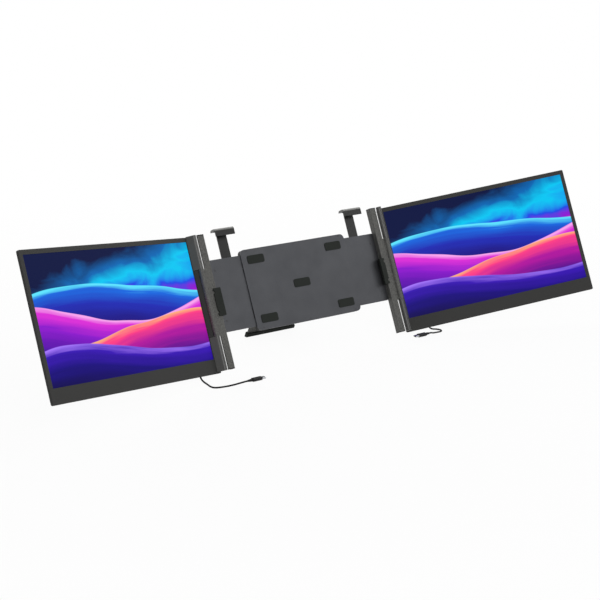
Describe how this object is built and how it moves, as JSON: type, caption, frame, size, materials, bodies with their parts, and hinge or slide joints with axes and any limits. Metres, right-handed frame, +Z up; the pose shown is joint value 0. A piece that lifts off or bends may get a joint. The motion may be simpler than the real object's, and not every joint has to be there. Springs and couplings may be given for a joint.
{
  "type": "laptop screen extender",
  "caption": "Telescopic bracket that hooks over a laptop's lid and carries a flat screen on a cranked hinge at each side, with a fold-out leg behind and a short cable per screen.",
  "frame": {"origin": "middle of the centre pad's face, which the lid's back rests on, level with the middle of both screens", "axes": "+X along the lid, to the user's right; +Y away from the user; +Z up. The bracket leans back by 24.75 degrees about X, as the laptop's lid does"},
  "size_m": [1.068, 0.2683, 0.2615],
  "materials": {
    "bezel_plastic": "fine matt texture",
    "panel_glass": "anti-glare",
    "light_guide": "satin",
    "shell_plastic": "matt",
    "screw_steel": "black oxide",
    "hinge_metal": "dark anodised",
    "circuit_board": "solder mask",
    "speaker_plastic": "matt",
    "button_plastic": "satin",
    "cable_rubber": "soft matt",
    "arm_aluminium": "grey anodised sheet",
    "gear_plastic": "acetal",
    "post_aluminium": "dark textured anodised",
    "cap_plastic": "matt",
    "grip_rubber": "matt",
    "pin_steel": "ground",
    "clip_metal": "dark powder coat",
    "plug_plastic": "matt"
  },
  "bodies": {
    "bracket": {"housing_front_plate": "arm_aluminium", "housing_rear_cover": "shell_plastic", "housing_screws": "screw_steel", "lid_pads": "grip_rubber", "pinion_shaft": "pin_steel", "kickstand_pin": "pin_steel"},
    "pinion": {"sync_pinion": "gear_plastic"},
    "kickstand": {"kickstand_leg": "post_aluminium", "kickstand_foot": "grip_rubber"},
    "left_arm": {"left_arm_plate": "arm_aluminium", "left_arm_rack": "gear_plastic", "left_arm_screws": "screw_steel", "left_post": "post_aluminium", "left_post_caps": "cap_plastic", "left_side_grip": "grip_rubber", "left_hinge_pin": "pin_steel", "left_clip_guide": "cap_plastic"},
    "left_clip": {"left_clip_hook": "clip_metal", "left_clip_pad": "grip_rubber"},
    "left_screen": {"left_front_bezel": "bezel_plastic", "left_lcd_panel": "panel_glass", "left_backlight_unit": "light_guide", "left_rear_cover": "shell_plastic", "left_cover_screws": "screw_steel", "left_upper_knuckle": "hinge_metal", "left_lower_knuckle": "hinge_metal", "left_hinge_trim": "cap_plastic", "left_driver_board": "circuit_board", "left_speakers": "speaker_plastic", "left_cable_gland": "cable_rubber", "left_cable": "cable_rubber", "left_cable_plug": "plug_plastic"},
    "left_power_key": {"left_power_button": "button_plastic"},
    "left_menu_key": {"left_menu_button": "button_plastic"},
    "right_arm": {"right_arm_plate": "arm_aluminium", "right_arm_rack": "gear_plastic", "right_arm_screws": "screw_steel", "right_post": "post_aluminium", "right_post_caps": "cap_plastic", "right_side_grip": "grip_rubber", "right_hinge_pin": "pin_steel", "right_clip_guide": "cap_plastic"},
    "right_clip": {"right_clip_hook": "clip_metal", "right_clip_pad": "grip_rubber"},
    "right_screen": {"right_front_bezel": "bezel_plastic", "right_lcd_panel": "panel_glass", "right_backlight_unit": "light_guide", "right_rear_cover": "shell_plastic", "right_cover_screws": "screw_steel", "right_upper_knuckle": "hinge_metal", "right_lower_knuckle": "hinge_metal", "right_hinge_trim": "cap_plastic", "right_driver_board": "circuit_board", "right_speakers": "speaker_plastic", "right_cable_gland": "cable_rubber", "right_cable": "cable_rubber", "right_cable_plug": "plug_plastic"},
    "right_power_key": {"right_power_button": "button_plastic"},
    "right_menu_key": {"right_menu_button": "button_plastic"}
  },
  "joints": [
    {"name": "left_arm_slide", "type": "slide", "parent": "bracket", "child": "left_arm", "axis": [-1, 0, 0], "range_m": [-0.003, 0.034]},
    {"name": "right_arm_slide", "type": "slide", "parent": "bracket", "child": "right_arm", "axis": [1, 0, 0], "range_m": [-0.003, 0.034]},
    {"name": "pinion_spin", "type": "hinge", "parent": "bracket", "child": "pinion", "pos_m": [0, 0.00518, -0.00239], "axis": [0, -0.9081, 0.4187], "range_deg": [-18, 176]},
    {"name": "left_screen_hinge", "type": "hinge", "parent": "left_arm", "child": "left_screen", "pos_m": [-0.1875, -0.00572, 0.00264], "axis": [0, 0.4187, 0.9081], "range_deg": [-45, 160]},
    {"name": "right_screen_hinge", "type": "hinge", "parent": "right_arm", "child": "right_screen", "pos_m": [0.1875, -0.00572, 0.00264], "axis": [0, -0.4187, -0.9081], "range_deg": [-45, 160]},
    {"name": "left_clip_slide", "type": "slide", "parent": "left_arm", "child": "left_clip", "axis": [0, 0.4187, 0.9081], "range_m": [-0.01, 0.03]},
    {"name": "right_clip_slide", "type": "slide", "parent": "right_arm", "child": "right_clip", "axis": [0, 0.4187, 0.9081], "range_m": [-0.01, 0.03]},
    {"name": "kickstand_hinge", "type": "hinge", "parent": "bracket", "child": "kickstand", "pos_m": [0, 0.03155, 0.03501], "axis": [1, 0, 0], "range_deg": [-50, 10]},
    {"name": "left_power_press", "type": "slide", "parent": "left_screen", "child": "left_power_key", "axis": [0.342, -0.8534, 0.3934], "range_m": [0, 0.0005], "stiffness_N_per_m": 200, "springref_m": -0.002},
    {"name": "left_menu_press", "type": "slide", "parent": "left_screen", "child": "left_menu_key", "axis": [0.342, -0.8534, 0.3934], "range_m": [0, 0.0005], "stiffness_N_per_m": 200, "springref_m": -0.002},
    {"name": "right_power_press", "type": "slide", "parent": "right_screen", "child": "right_power_key", "axis": [-0.342, -0.8534, 0.3934], "range_m": [0, 0.0005], "stiffness_N_per_m": 200, "springref_m": -0.002},
    {"name": "right_menu_press", "type": "slide", "parent": "right_screen", "child": "right_menu_key", "axis": [-0.342, -0.8534, 0.3934], "range_m": [0, 0.0005], "stiffness_N_per_m": 200, "springref_m": -0.002}
  ],
  "couplings": [
    {"joint": "right_arm_slide", "follows": "left_arm_slide", "ratio": 1},
    {"joint": "pinion_spin", "follows": "left_arm_slide", "rad_per_m": 88.889}
  ]
}
